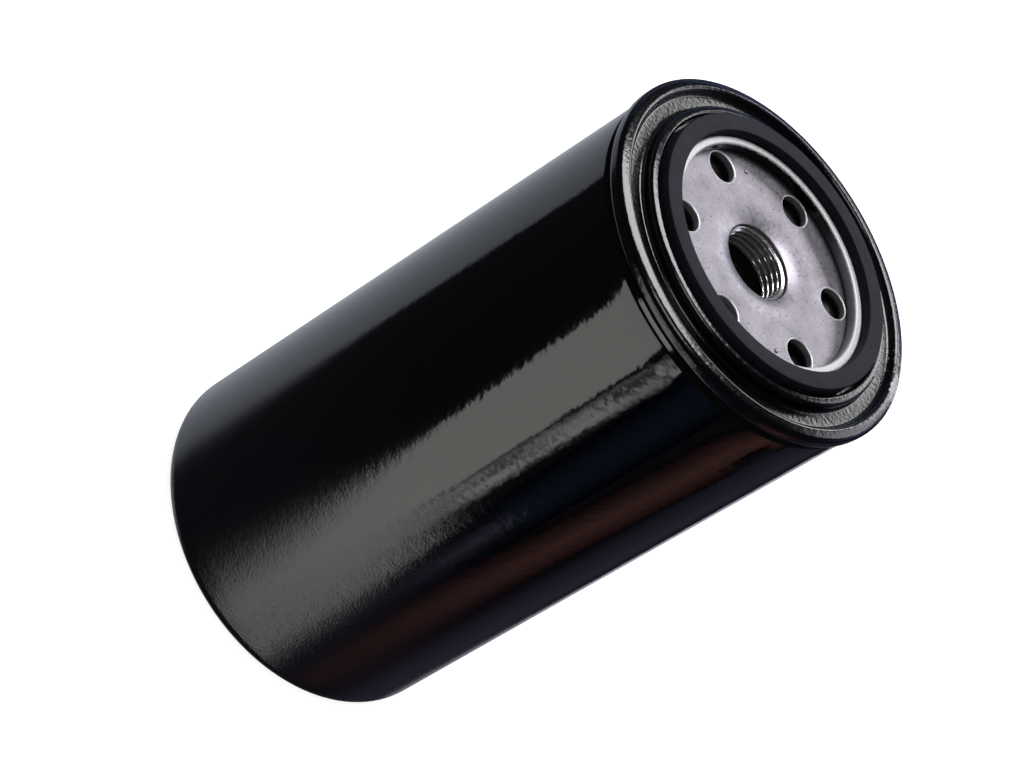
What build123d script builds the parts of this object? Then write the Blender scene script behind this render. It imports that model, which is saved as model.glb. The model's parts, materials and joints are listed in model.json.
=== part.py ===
from build123d import *
import math
import os

# Spin-on oil filter. Millimetres. +Z runs out of the open, threaded end, and the origin is
# the centre of the ring that the closed end stands on. The first inlet hole lies on +X.

# --- Thread and base plate -------------------------------------------------------------
thread_major_radius = 25.4 * 3 / 4 / 2
thread_pitch = 25.4 / 16
thread_depth = 0.72
thread_root_flat = thread_pitch / 16
thread_flank_angle = 30.0
thread_cutter_overshoot = 0.1
hub_wall = 3.1
hub_length = 9.0
hub_root_round = 1.2
hub_end_round = 0.4
funnel_width = 6.0
funnel_sink = 0.55
funnel_round = 3.0
mouth_clearance = 0.15
plate_thickness = 3.0
plate_edge_round = 0.3
inlet_hole_radius = 4.0
inlet_hole_count = 6
inlet_edge_gap = 0.45
pip_radius = 0.6
pip_height = 0.3
pip_angle = 40.0

# --- Mounting gasket and the lid that holds it -----------------------------------------
gasket_inner_radius = 31.0
gasket_width = 4.5
gasket_height = 4.75
gasket_side_gap = 0.6
gasket_seat_depth = 1.5
gasket_foot_round = 0.15
gasket_face_round = 0.25
lid_sheet = 0.85
hem_width = 2.25
hem_height = 0.8
hem_drop = 2.0
hem_round = 1.05
seat_corner_round = 0.1
lip_width = 2.6
lip_height = 1.45
lip_round = 1.2
valley_width = 4.45
valley_depth = 2.2
valley_inner_round = 0.9
valley_outer_round = 1.0

# --- Can and double seam ---------------------------------------------------------------
can_height = 166.0
can_sheet = 0.5
seam_height = 4.5
seam_clearance = 0.07
seam_hook_gap = 0.3
chuck_crest_round = 1.1
rim_crest_round = 1.3
seam_bottom_round = 1.1
cover_hook_round = 1.0
body_hook_round = 0.2
neck_height = 1.4
neck_gap = 0.7
neck_step = 1.25
neck_round = 1.0
closed_end_round = 5.0
standing_ring_width = 9.0
closed_end_recess = 1.5
recess_slope = 2.0
recess_round = 1.5

# --- Anti-drain valve ------------------------------------------------------------------
valve_travel = 2.0
valve_running_clearance = 0.08
valve_collar_width = 3.4
valve_web = 1.1
valve_lip_overlap = 2.2
valve_lip_width = 4.0
valve_dish = 2.4
valve_edge_round = 0.4
valve_knee_round = 1.0
soft_clearance = 0.3

# --- Filter element --------------------------------------------------------------------
element_annulus = 7.0
element_travel = 2.5
cap_sheet = 0.5
cap_skirt = 5.0
cap_neck = 3.0
cap_opening_radius = 11.5
cap_corner_round = 1.0
cap_neck_round = 0.7
potting_depth = 2.0
potting_clearance = 0.05
potting_corner_round = 0.6
potting_neck_round = 0.3
tube_outer_radius = 17.0
tube_sheet = 0.6
tube_hole_radius = 1.6
tube_hole_pitch = 8.0
tube_hole_arc = 10.5
pleat_pitch = 1.8
pleat_fold_half_width = 0.75
pleat_valley_half_width = 0.3
paper_thickness = 0.5
paper_tube_clearance = 0.2
paper_skirt_clearance = 0.6
clip_sheet = 0.3
clip_depth = 4.0
clip_clearance = 0.05
grommet_height = 1.6
grommet_spigot = 2.0
grommet_bore_radius = 9.9
grommet_side_clearance = 0.2
grommet_face_round = 0.3
grommet_edge_round = 0.2
hub_seat_clearance = 0.1

# --- Support spring under the element --------------------------------------------------
support_spring_closed = 10.9
support_spring_radius = 17.0
support_spring_wire = 1.0
support_spring_turns = 3.5
spring_end_clearance = 0.05
locator_sheet = 0.6
locator_rim = 2.4
locator_clearance = 0.4
locator_hole_radius = 9.0
locator_round = 1.0

# --- Bypass valve in the lower end cap -------------------------------------------------
bypass_travel = 4.0
bypass_port_radius = 8.0
bypass_barrel_wall = 3.0
bypass_barrel_rise = 3.5
bypass_flange_width = 3.0
bypass_flange_thickness = 1.0
bypass_flange_round = 0.2
bypass_port_round = 0.3
bypass_gasket_thickness = 0.5
bypass_fit_clearance = 0.05
bypass_seal_thickness = 1.2
bypass_seal_overlap = 2.2
bypass_disc_thickness = 1.0
bypass_seat_clearance = 0.05
bypass_spring_closed = 6.4
bypass_spring_radius = 5.5
bypass_spring_wire = 0.55
bypass_spring_turns = 4.0
cage_sheet = 0.6
cage_gap = 0.3
cage_foot_width = 2.2
cage_window_count = 4
cage_window_width = 9.0
cage_window_margin = 1.5
cage_crown_round = 1.2
cage_foot_round = 0.4
stem_radius = 1.5
stem_fit_clearance = 0.02
stem_running_clearance = 0.05
stem_head_radius = 4.2
stem_head_height = 1.0
stem_tail = 1.5
stem_end_round = 0.4

# --- Radii worked out from the inside to the outside -----------------------------------
bore_radius = thread_major_radius - thread_depth
mouth_radius = thread_major_radius + mouth_clearance
funnel_radius = mouth_radius + funnel_width
hub_radius = thread_major_radius + hub_wall
hem_outer_radius = gasket_inner_radius - seam_clearance
lid_opening_radius = hem_outer_radius - hem_width
inlet_circle_radius = lid_opening_radius - inlet_edge_gap - inlet_hole_radius
gasket_outer_radius = gasket_inner_radius + gasket_width
lip_inner_radius = gasket_outer_radius + gasket_side_gap
lip_outer_radius = lip_inner_radius + lip_width
plate_radius = lip_outer_radius - lid_sheet - soft_clearance
chuck_radius = lip_outer_radius + valley_width
body_wall_inner = chuck_radius + lid_sheet + seam_clearance
body_wall_outer = body_wall_inner + can_sheet
cover_hook_inner = body_wall_outer + seam_clearance
body_hook_inner = cover_hook_inner + lid_sheet + seam_clearance
rim_radius = body_hook_inner + can_sheet + seam_clearance + lid_sheet
can_radius = body_wall_outer + neck_step
can_inner_radius = can_radius - can_sheet
element_radius = can_inner_radius - element_annulus
skirt_inner_radius = element_radius - cap_sheet
pleat_outer_radius = skirt_inner_radius - paper_skirt_clearance
pleat_inner_radius = tube_outer_radius + paper_tube_clearance
barrel_radius = bypass_port_radius + bypass_barrel_wall
lower_opening_radius = barrel_radius + bypass_fit_clearance

# --- Heights worked out from the open end down -----------------------------------------
gasket_floor_z = can_height - gasket_seat_depth
plate_top_z = gasket_floor_z - lid_sheet
plate_bottom_z = plate_top_z - plate_thickness
hub_bottom_z = plate_top_z - hub_length
grommet_top_z = hub_bottom_z - hub_seat_clearance
upper_cap_top_z = grommet_top_z - grommet_height
media_top_z = upper_cap_top_z - cap_sheet - potting_depth
valve_top_z = plate_bottom_z - soft_clearance
valve_bottom_z = upper_cap_top_z + soft_clearance + valve_travel
seam_bottom_z = can_height - seam_height
body_hook_top_z = can_height - lid_sheet - seam_hook_gap

# --- Heights worked out from the closed end up -----------------------------------------
panel_top_z = closed_end_recess + can_sheet
locator_top_z = panel_top_z + locator_sheet
lower_cap_bottom_z = locator_top_z + support_spring_closed + element_travel
lower_cap_top_z = lower_cap_bottom_z + cap_sheet
media_bottom_z = lower_cap_top_z + potting_depth
barrel_bottom_z = lower_cap_bottom_z - bypass_gasket_thickness - bypass_flange_thickness
seat_z = lower_cap_top_z + bypass_barrel_rise
seal_bottom_z = seat_z + bypass_seat_clearance
disc_bottom_z = seal_bottom_z + bypass_seal_thickness
disc_top_z = disc_bottom_z + bypass_disc_thickness
cage_ceiling_z = disc_top_z + bypass_spring_closed + bypass_travel
cage_top_z = cage_ceiling_z + cage_sheet


# Side of a sheet's second face, on the way along its first.
left_side = 1
right_side = -1


def turned(corners):
    """Solid turned about Z from a closed section of (radius, height, corner round)."""
    points = [(radius, height) for radius, height, _ in corners]
    rounds = [corner for _, _, corner in corners]
    outline = FilletPolyline(*points, radius=rounds, close=True)
    return revolve(Plane.XZ * make_face(outline), axis=Axis.Z)


def pressed(corners, sheet, side):
    """Sheet pressing turned about Z: one face follows the corners, the other lies to one side."""
    points = [Vector(radius, height) for radius, height, _ in corners]
    steps = [(end - start).normalized() for start, end in zip(points, points[1:])]
    steps = [steps[0], *steps, steps[-1]]
    other_face = []
    for point, (_, _, corner), before, after in zip(points, corners, steps, steps[1:]):
        normal = Vector(-before.Y - after.Y, before.X + after.X) * side
        moved = point + normal * (sheet / (1 + before.dot(after)))
        turn = before.cross(after).Z * side
        bend = corner - math.copysign(sheet, turn) if abs(turn) > 0.001 else 0
        other_face.append((moved.X, moved.Y, max(bend, 0)))
    return turned([*corners, *reversed(other_face)])


def ring(inner_radius, outer_radius, bottom_z, top_z):
    """Plain ring of rectangular section."""
    corners = [(inner_radius, bottom_z, 0), (outer_radius, bottom_z, 0)]
    corners += [(outer_radius, top_z, 0), (inner_radius, top_z, 0)]
    return turned(corners)


def coil(coil_radius, wire_radius, turns, bottom_z, top_z):
    """Helical spring that stands between two heights, with a little room at each end."""
    first_z = bottom_z + spring_end_clearance + wire_radius
    height = top_z - spring_end_clearance - wire_radius - first_z
    path = Helix(height / turns, height, coil_radius)
    wire = Plane(origin=path @ 0, z_dir=path % 0) * Circle(wire_radius)
    return Pos(0, 0, first_z) * sweep(wire, path=path, is_frenet=True)


def make_shell():
    """Drawn can: recessed closed end, straight wall, neck and body hook of the seam."""
    ring_inner = can_radius - closed_end_round - standing_ring_width
    neck_top_z = seam_bottom_z - neck_gap
    hook_bottom_z = seam_bottom_z + lid_sheet + seam_clearance
    hook_under_z = body_hook_top_z - can_sheet
    corners = [
        (0, closed_end_recess, 0),
        (ring_inner - recess_slope, closed_end_recess, recess_round),
        (ring_inner, 0, recess_round),
        (can_radius, 0, closed_end_round),
        (can_radius, neck_top_z - neck_height, neck_round),
        (body_wall_outer, neck_top_z, neck_round),
        (body_wall_outer, hook_under_z, body_hook_round),
        (body_hook_inner, hook_under_z, body_hook_round),
        (body_hook_inner, hook_bottom_z, 0),
    ]
    return pressed(corners, can_sheet, left_side)


def make_seaming_lid():
    """Lid sheet: hemmed opening, gasket seat, retaining lip, valley and cover hook."""
    hem_bottom_z = can_height - hem_drop
    hem_top_z = can_height + hem_height
    lip_top_z = can_height + lip_height
    valley_z = can_height - valley_depth
    hook_top_z = body_hook_top_z - can_sheet - seam_clearance
    corners = [
        (lid_opening_radius, hem_bottom_z, 0),
        (lid_opening_radius, hem_top_z, hem_round),
        (hem_outer_radius, hem_top_z, hem_round),
        (hem_outer_radius, gasket_floor_z, seat_corner_round),
        (lip_inner_radius, gasket_floor_z, seat_corner_round),
        (lip_inner_radius, lip_top_z, lip_round),
        (lip_outer_radius, lip_top_z, lip_round),
        (lip_outer_radius, valley_z, valley_inner_round),
        (chuck_radius, valley_z, valley_outer_round),
        (chuck_radius, can_height, chuck_crest_round),
        (rim_radius, can_height, rim_crest_round),
        (rim_radius, seam_bottom_z, seam_bottom_round),
        (cover_hook_inner, seam_bottom_z, cover_hook_round),
        (cover_hook_inner, hook_top_z, 0),
    ]
    return pressed(corners, lid_sheet, right_side)


def make_seam_sealant():
    """Ring of sealing compound above the body hook, inside the seam."""
    inner = body_wall_outer + seam_clearance
    outer = body_hook_inner - seam_clearance
    top_z = can_height - lid_sheet - seam_clearance
    return ring(inner, outer, body_hook_top_z, top_z)


def make_base_plate():
    """Tapped plate with a drawn hub, six oil inlets and two small pips on its face."""
    mouth_z = plate_top_z - funnel_sink
    plate = turned([
        (bore_radius, hub_bottom_z, plate_edge_round),
        (hub_radius, hub_bottom_z, hub_end_round),
        (hub_radius, plate_bottom_z, hub_root_round),
        (plate_radius, plate_bottom_z, plate_edge_round),
        (plate_radius, plate_top_z, plate_edge_round),
        (funnel_radius, plate_top_z, funnel_round),
        (mouth_radius, mouth_z, plate_edge_round),
        (bore_radius, mouth_z - (mouth_radius - bore_radius), 0),
    ])
    inlets = PolarLocations(inlet_circle_radius, inlet_hole_count)
    reach = 2 * plate_thickness
    plate -= [place * Pos(0, 0, plate_top_z) * Cylinder(inlet_hole_radius, reach) for place in inlets]
    pip = Cylinder(pip_radius, 2 * pip_height)
    pip = fillet(pip.faces().sort_by(Axis.Z)[-1].edges(), pip_height / 2)
    for place in PolarLocations(inlet_circle_radius, 2, start_angle=pip_angle):
        plate += place * Pos(0, 0, plate_top_z) * pip
    return plate - thread_cutter()


def thread_cutter():
    """Helical ridge of 60 degree section that cuts the internal thread, past both ends."""
    inner = -thread_cutter_overshoot
    tip = thread_root_flat / 2
    foot = tip + (thread_depth - inner) * math.tan(math.radians(thread_flank_angle))
    length = hub_length + 2 * thread_pitch
    path = Helix(thread_pitch, length, bore_radius)
    corners = [(inner, -foot), (thread_depth, -tip), (thread_depth, tip), (inner, foot)]
    section = Plane(origin=path @ 0, x_dir=(1, 0, 0), z_dir=path % 0) * Polygon(*corners, align=None)
    return Pos(0, 0, hub_bottom_z - thread_pitch) * sweep(section, path=path, is_frenet=True)


def make_mounting_gasket():
    """Square-cut rubber ring that stands proud of the lid."""
    top_z = gasket_floor_z + gasket_height
    return turned([
        (gasket_inner_radius, gasket_floor_z, gasket_foot_round),
        (gasket_outer_radius, gasket_floor_z, gasket_foot_round),
        (gasket_outer_radius, top_z, gasket_face_round),
        (gasket_inner_radius, top_z, gasket_face_round),
    ])


def make_anti_drain_valve():
    """Rubber diaphragm: a collar round the hub and a thin lip that covers the inlets."""
    collar_inner = hub_radius + valve_running_clearance
    collar_outer = collar_inner + valve_collar_width
    lip_outer = inlet_circle_radius + inlet_hole_radius + valve_lip_overlap
    lip_inner = lip_outer - valve_lip_width
    dish_z = valve_top_z - valve_dish
    return turned([
        (collar_inner, valve_bottom_z, valve_edge_round),
        (collar_outer, valve_bottom_z, valve_edge_round),
        (collar_outer, dish_z - valve_web, valve_edge_round),
        (lip_inner, valve_top_z - valve_web, valve_knee_round),
        (lip_outer, valve_top_z - valve_web, valve_edge_round),
        (lip_outer, valve_top_z, valve_edge_round),
        (lip_inner, valve_top_z, valve_knee_round),
        (collar_outer, dish_z, valve_edge_round),
        (collar_outer, valve_top_z, valve_edge_round),
        (collar_inner + hub_root_round, valve_top_z, 0),
        (collar_inner, valve_top_z - hub_root_round, 0),
    ])


def make_upper_end_cap():
    """Steel cap on the open-end side of the element, with a neck for the grommet."""
    corners = [
        (cap_opening_radius, upper_cap_top_z - cap_neck, 0),
        (cap_opening_radius, upper_cap_top_z, cap_neck_round),
        (element_radius, upper_cap_top_z, cap_corner_round),
        (element_radius, upper_cap_top_z - cap_skirt, 0),
    ]
    return pressed(corners, cap_sheet, right_side)


def make_lower_end_cap():
    """Steel cap on the closed-end side of the element, open for the bypass valve."""
    corners = [
        (lower_opening_radius, lower_cap_bottom_z, 0),
        (element_radius, lower_cap_bottom_z, cap_corner_round),
        (element_radius, lower_cap_bottom_z + cap_skirt, 0),
    ]
    return pressed(corners, cap_sheet, left_side)


def make_upper_potting():
    """Cured adhesive that sets the media and tube into the upper cap."""
    inner = cap_opening_radius + cap_sheet + potting_clearance
    outer = skirt_inner_radius - potting_clearance
    return turned([
        (inner, media_top_z, 0),
        (outer, media_top_z, 0),
        (outer, media_top_z + potting_depth, potting_corner_round),
        (inner, media_top_z + potting_depth, potting_neck_round),
    ])


def make_lower_potting():
    """Cured adhesive that sets the media and tube into the lower cap."""
    inner = tube_outer_radius - 2 * tube_sheet
    outer = skirt_inner_radius - potting_clearance
    return turned([
        (inner, lower_cap_top_z, 0),
        (outer, lower_cap_top_z, potting_corner_round),
        (outer, media_bottom_z, 0),
        (inner, media_bottom_z, 0),
    ])


def pleat_outline(fold_radius, fold_half_width, valley_radius, valley_half_width, count):
    """Closed zigzag with a flat at each outer fold and each inner valley."""
    points = []
    for pleat in range(count):
        middle = 2 * math.pi * pleat / count
        fold_half_angle = fold_half_width / fold_radius
        valley_half_angle = math.pi / count - valley_half_width / valley_radius
        steps = [(valley_radius, -valley_half_angle), (fold_radius, -fold_half_angle)]
        steps += [(fold_radius, fold_half_angle), (valley_radius, valley_half_angle)]
        points += [(r * math.cos(middle + a), r * math.sin(middle + a)) for r, a in steps]
    return make_face(Polyline(*points, close=True))


def make_pleated_media():
    """Pleated paper, one closed loop of folds standing between the two pottings."""
    count = int(2 * math.pi * pleat_inner_radius / pleat_pitch)
    outer_face = pleat_outline(
        pleat_outer_radius,
        pleat_fold_half_width,
        pleat_inner_radius + paper_thickness,
        pleat_valley_half_width,
        count,
    )
    inner_face = pleat_outline(
        pleat_outer_radius - paper_thickness,
        pleat_fold_half_width - paper_thickness,
        pleat_inner_radius,
        pleat_valley_half_width + paper_thickness,
        count,
    )
    height = media_top_z - media_bottom_z
    return Pos(0, 0, media_bottom_z) * extrude(outer_face - inner_face, amount=height)


def make_media_seam_clip():
    """Folded metal strip over the pleat where the two ends of the paper meet."""
    height = media_top_z - media_bottom_z
    inside_width = 2 * (pleat_fold_half_width + clip_clearance)
    width = inside_width + 2 * clip_sheet
    outer = pleat_outer_radius + clip_clearance + clip_sheet
    align = (Align.MAX, Align.CENTER, Align.MIN)
    strip = Pos(outer, 0, media_bottom_z) * Box(clip_depth, width, height, align=align)
    fold = Pos(outer - clip_sheet, 0, media_bottom_z) * Box(clip_depth, inside_width, height, align=align)
    return strip - fold


def make_centre_tube():
    """Perforated steel tube that the paper bears on."""
    tube = ring(tube_outer_radius - tube_sheet, tube_outer_radius, media_bottom_z, media_top_z)
    height = media_top_z - media_bottom_z
    rows = int(height / tube_hole_pitch) - 1
    pairs = int(math.pi * tube_outer_radius / tube_hole_arc)
    first_z = (media_top_z + media_bottom_z - (rows - 1) * tube_hole_pitch) / 2
    drills = []
    for row in range(rows):
        stagger = 90 / pairs * (row % 2)
        for pair in range(pairs):
            turn = Rot(0, 0, stagger + 180 / pairs * pair) * Rot(0, 90, 0)
            drill = Cylinder(tube_hole_radius, 3 * tube_outer_radius)
            drills.append(Pos(0, 0, first_z + row * tube_hole_pitch) * turn * drill)
    return tube - drills


def make_element_grommet():
    """Rubber seal in the upper cap's neck that presses on the end of the hub."""
    outer = hub_radius - grommet_side_clearance
    spigot = cap_opening_radius - potting_clearance
    return turned([
        (grommet_bore_radius, upper_cap_top_z - grommet_spigot, grommet_edge_round),
        (spigot, upper_cap_top_z - grommet_spigot, grommet_edge_round),
        (spigot, upper_cap_top_z + potting_clearance, 0),
        (outer, upper_cap_top_z + potting_clearance, grommet_edge_round),
        (outer, grommet_top_z, grommet_face_round),
        (grommet_bore_radius, grommet_top_z, grommet_face_round),
    ])


def make_element_support_spring():
    """Coil spring that pushes the element up against the hub."""
    wire = support_spring_wire
    return coil(support_spring_radius, wire, support_spring_turns, locator_top_z, lower_cap_bottom_z)


def make_spring_locator():
    """Shallow pressed cup on the closed end that centres the support spring."""
    inner = support_spring_radius + support_spring_wire + locator_clearance
    corners = [
        (locator_hole_radius, panel_top_z, 0),
        (inner + locator_sheet, panel_top_z, locator_round),
        (inner + locator_sheet, panel_top_z + locator_rim, 0),
    ]
    return pressed(corners, locator_sheet, left_side)


def make_bypass_valve_body():
    """Flanged ring through the lower cap; its upper end is the valve seat."""
    flange_top_z = barrel_bottom_z + bypass_flange_thickness
    flange_radius = barrel_radius + bypass_flange_width
    return turned([
        (bypass_port_radius, barrel_bottom_z, bypass_port_round),
        (flange_radius, barrel_bottom_z, bypass_flange_round),
        (flange_radius, flange_top_z, bypass_flange_round),
        (barrel_radius, flange_top_z, 0),
        (barrel_radius, seat_z, bypass_port_round),
        (bypass_port_radius, seat_z, bypass_port_round),
    ])


def make_bypass_body_gasket():
    """Fibre washer between the valve body's flange and the lower cap."""
    outer = barrel_radius + bypass_flange_width
    bottom_z = lower_cap_bottom_z - bypass_gasket_thickness
    return ring(barrel_radius + bypass_fit_clearance, outer, bottom_z, lower_cap_bottom_z)


def make_bypass_valve_cage():
    """Windowed cup on the lower cap that holds the spring and guides the stem."""
    wall_inner = barrel_radius + cage_gap
    wall_outer = wall_inner + cage_sheet
    foot = wall_outer + cage_foot_width
    hole = stem_radius + stem_running_clearance
    corners = [
        (hole, cage_top_z, 0),
        (wall_outer, cage_top_z, cage_crown_round),
        (wall_outer, lower_cap_top_z + cage_sheet, cage_foot_round),
        (foot, lower_cap_top_z + cage_sheet, 0),
    ]
    cage = pressed(corners, cage_sheet, right_side)
    window_height = cage_ceiling_z - cage_window_margin - seat_z
    align = (Align.MIN, Align.CENTER, Align.MIN)
    window = Box(foot, cage_window_width, window_height, align=align)
    window = Pos(bypass_port_radius, 0, seat_z) * window
    return cage - [place * window for place in PolarLocations(0, cage_window_count)]


def make_bypass_valve_seal():
    """Rubber washer under the disc that closes on the seat."""
    outer = bypass_port_radius + bypass_seal_overlap
    return ring(stem_radius + stem_fit_clearance, outer, seal_bottom_z, disc_bottom_z)


def make_bypass_valve_disc():
    """Steel disc that backs the seal and carries the spring."""
    outer = bypass_port_radius + bypass_seal_overlap
    return ring(stem_radius + stem_fit_clearance, outer, disc_bottom_z, disc_top_z)


def make_bypass_valve_stem():
    """Headed pin through seal, disc and cage that keeps the disc square to its seat."""
    head_bottom_z = seal_bottom_z - stem_head_height
    return turned([
        (0, head_bottom_z, 0),
        (stem_head_radius, head_bottom_z, stem_end_round),
        (stem_head_radius, seal_bottom_z, 0),
        (stem_radius, seal_bottom_z, 0),
        (stem_radius, cage_top_z + stem_tail, stem_end_round),
        (0, cage_top_z + stem_tail, 0),
    ])


def make_bypass_valve_spring():
    """Coil spring between the disc and the top of the cage."""
    wire = bypass_spring_wire
    return coil(bypass_spring_radius, wire, bypass_spring_turns, disc_top_z, cage_ceiling_z)


sub_parts = {
    "shell": make_shell,
    "seaming_lid": make_seaming_lid,
    "seam_sealant": make_seam_sealant,
    "base_plate": make_base_plate,
    "mounting_gasket": make_mounting_gasket,
    "anti_drain_valve": make_anti_drain_valve,
    "upper_end_cap": make_upper_end_cap,
    "lower_end_cap": make_lower_end_cap,
    "upper_potting": make_upper_potting,
    "lower_potting": make_lower_potting,
    "pleated_media": make_pleated_media,
    "media_seam_clip": make_media_seam_clip,
    "centre_tube": make_centre_tube,
    "element_grommet": make_element_grommet,
    "element_support_spring": make_element_support_spring,
    "spring_locator": make_spring_locator,
    "bypass_valve_body": make_bypass_valve_body,
    "bypass_body_gasket": make_bypass_body_gasket,
    "bypass_valve_cage": make_bypass_valve_cage,
    "bypass_valve_seal": make_bypass_valve_seal,
    "bypass_valve_disc": make_bypass_valve_disc,
    "bypass_valve_stem": make_bypass_valve_stem,
    "bypass_valve_spring": make_bypass_valve_spring,
}

os.makedirs("parts", exist_ok=True)
for name, make in sub_parts.items():
    export_step(make(), f"parts/{name}.step")
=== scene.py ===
"""Looks of the spin-on oil filter: gloss black can, seamed lid, tapped plate, gasket, and what
the can holds."""

import json
import math

import bmesh
import bpy
from mathutils import Matrix, Vector


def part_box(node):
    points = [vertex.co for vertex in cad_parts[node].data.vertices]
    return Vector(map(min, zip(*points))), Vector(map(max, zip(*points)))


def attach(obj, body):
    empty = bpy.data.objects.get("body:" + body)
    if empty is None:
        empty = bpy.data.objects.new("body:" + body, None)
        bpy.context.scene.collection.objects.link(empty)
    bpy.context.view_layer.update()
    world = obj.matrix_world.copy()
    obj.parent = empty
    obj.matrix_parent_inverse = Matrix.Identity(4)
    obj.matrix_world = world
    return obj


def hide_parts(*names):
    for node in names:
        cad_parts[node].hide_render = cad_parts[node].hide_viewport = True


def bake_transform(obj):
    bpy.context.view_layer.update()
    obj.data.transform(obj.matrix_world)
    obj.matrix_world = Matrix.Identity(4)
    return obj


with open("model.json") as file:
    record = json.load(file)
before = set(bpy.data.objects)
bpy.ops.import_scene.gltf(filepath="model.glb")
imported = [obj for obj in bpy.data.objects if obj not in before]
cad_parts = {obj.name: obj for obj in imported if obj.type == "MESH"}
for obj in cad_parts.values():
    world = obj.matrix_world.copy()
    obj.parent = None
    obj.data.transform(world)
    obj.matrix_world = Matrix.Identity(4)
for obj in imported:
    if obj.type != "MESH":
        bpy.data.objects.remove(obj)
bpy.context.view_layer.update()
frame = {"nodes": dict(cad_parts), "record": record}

mm = 0.001

# --- Sizes of the pressings, as they are made ------------------------------------------------
can_sheet = 0.5 * mm
closed_end_round = 5.0 * mm
standing_ring_width = 9.0 * mm
closed_end_recess = 1.5 * mm
recess_slope = 2.0 * mm
recess_round = 1.5 * mm
neck_height = 1.4 * mm
neck_gap = 0.7 * mm
neck_step = 1.25 * mm
neck_round = 1.0 * mm
body_hook_round = 0.2 * mm

lid_sheet = 0.85 * mm
hem_clearance = 0.07 * mm
hem_width = 2.25 * mm
hem_height = 0.8 * mm
hem_drop = 2.0 * mm
hem_round = 0.65 * mm
seat_round = 0.1 * mm
lip_height = 1.45 * mm
lip_width = 2.6 * mm
lip_inner_round = 0.9 * mm
lip_outer_round = 1.1 * mm
valley_width = 4.45 * mm
valley_depth = 2.2 * mm
valley_foot_round = 0.9 * mm
valley_wall_round = 1.0 * mm
crest_fall = 0.42 * mm
crest_inner_round = 1.2 * mm
crest_outer_round = 1.6 * mm
seam_clearance = 0.07 * mm
seam_foot_round = 1.1 * mm
cover_hook_round = 1.0 * mm

gasket_width = 4.5 * mm
gasket_side_gap = 0.6 * mm
gasket_foot_round = 0.15 * mm
gasket_face_round = 0.3 * mm

thread_radius = 25.4 * mm * 3 / 8
thread_pitch = 25.4 * mm / 16
thread_depth = 0.72 * mm
thread_root_flat = thread_pitch / 16
thread_flank = math.radians(30)
thread_start = 0.35 * mm
thread_end = 0.5 * mm
plate_thickness = 3.0 * mm
plate_edge_round = 0.3 * mm
hub_wall = 3.1 * mm
hub_end_round = 0.4 * mm
hub_foot_round = 1.2 * mm
mouth_radius = thread_radius + 0.15 * mm
mouth_roll = 0.45 * mm
mouth_drop = 0.8 * mm
funnel_radius = mouth_radius + 8.0 * mm
funnel_end_slope = math.radians(17)
funnel_growth = 1.7
funnel_steps = 16
inlet_count = 6
inlet_radius = 4.0 * mm
inlet_roll = 0.35 * mm
inlet_margin = 0.45 * mm
pip_radius = 0.6 * mm
pip_height = 0.3 * mm
pip_round = 0.28 * mm
pip_angle = math.radians(40)

pleat_count = 60
pleat_bend = 0.2 * mm
paper_thickness = 0.5 * mm
tube_gap = 0.2 * mm

# --- Sizes read from the frame, and what follows from them ------------------------------------
can_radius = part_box("shell")[1].x
body_hook_top_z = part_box("shell")[1].z
lid_low, lid_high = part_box("seaming_lid")
rim_radius = lid_high.x
crest_z = lid_high.z - lip_height
seam_bottom_z = lid_low.z
gasket_low, gasket_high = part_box("mounting_gasket")
gasket_outer_radius = gasket_high.x
gasket_inner_radius = gasket_outer_radius - gasket_width
gasket_floor_z = gasket_low.z
gasket_top_z = gasket_high.z
plate_low, plate_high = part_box("base_plate")
plate_radius = plate_high.x
plate_top_z = gasket_floor_z - lid_sheet
plate_bottom_z = plate_top_z - plate_thickness
hub_bottom_z = plate_low.z

hem_outer_radius = gasket_inner_radius - hem_clearance
lid_opening_radius = hem_outer_radius - hem_width
lip_inner_radius = gasket_outer_radius + gasket_side_gap
lip_outer_radius = lip_inner_radius + lip_width
chuck_radius = lip_outer_radius + valley_width
body_wall_outer = can_radius - neck_step
cover_hook_inner = body_wall_outer + seam_clearance
body_hook_inner = cover_hook_inner + lid_sheet + seam_clearance
hub_radius = thread_radius + hub_wall
inlet_circle_radius = lid_opening_radius - inlet_margin - inlet_radius

# Directions are counted from the camera's far side, and the first inlet lies this far round
# from it.
first_hole_angle = math.radians(13.5)
to_part = Matrix.Rotation(-first_hole_angle, 3, "Z")


def direction(azimuth, elevation):
    """Unit vector at an azimuth from the camera's far side and an elevation, in degrees."""
    a, e = math.radians(azimuth), math.radians(elevation)
    return to_part @ Vector((math.cos(e) * math.cos(a), math.cos(e) * math.sin(a), math.sin(e)))


# --- Turned meshes -------------------------------------------------------------------------
around = 256
around_inlet = 72
around_pip = 24
arc_step = math.radians(9)
long_step = 6 * mm
thread_step = thread_pitch / 20
same_spot = 1e-7


def cross(a, b):
    return a.x * b.y - a.y * b.x


def rounded(corners):
    """Points along a section whose corners (radius, height, corner round) are true arcs."""
    points = []
    count = len(corners)
    for index, (radius, height, bend) in enumerate(corners):
        here = Vector((radius, height))
        before = Vector(corners[index - 1][:2]) - here
        after = Vector(corners[(index + 1) % count][:2]) - here
        if bend <= 0:
            points.append(here)
            continue
        turn = math.pi - before.angle(after)
        reach = bend * math.tan(turn / 2)
        start = here + before.normalized() * reach
        side = -1 if cross(before, after) > 0 else 1
        along = -before.normalized()
        normal = Vector((-along.y, along.x)) * side
        centre = start + normal * bend
        steps = max(2, round(turn / arc_step))
        for step in range(steps + 1):
            angle = side * turn * step / steps
            points.append(centre + Matrix.Rotation(angle, 2) @ (start - centre))
    return [p for p, before in zip(points, points[-1:] + points) if (p - before).length > same_spot]


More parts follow.
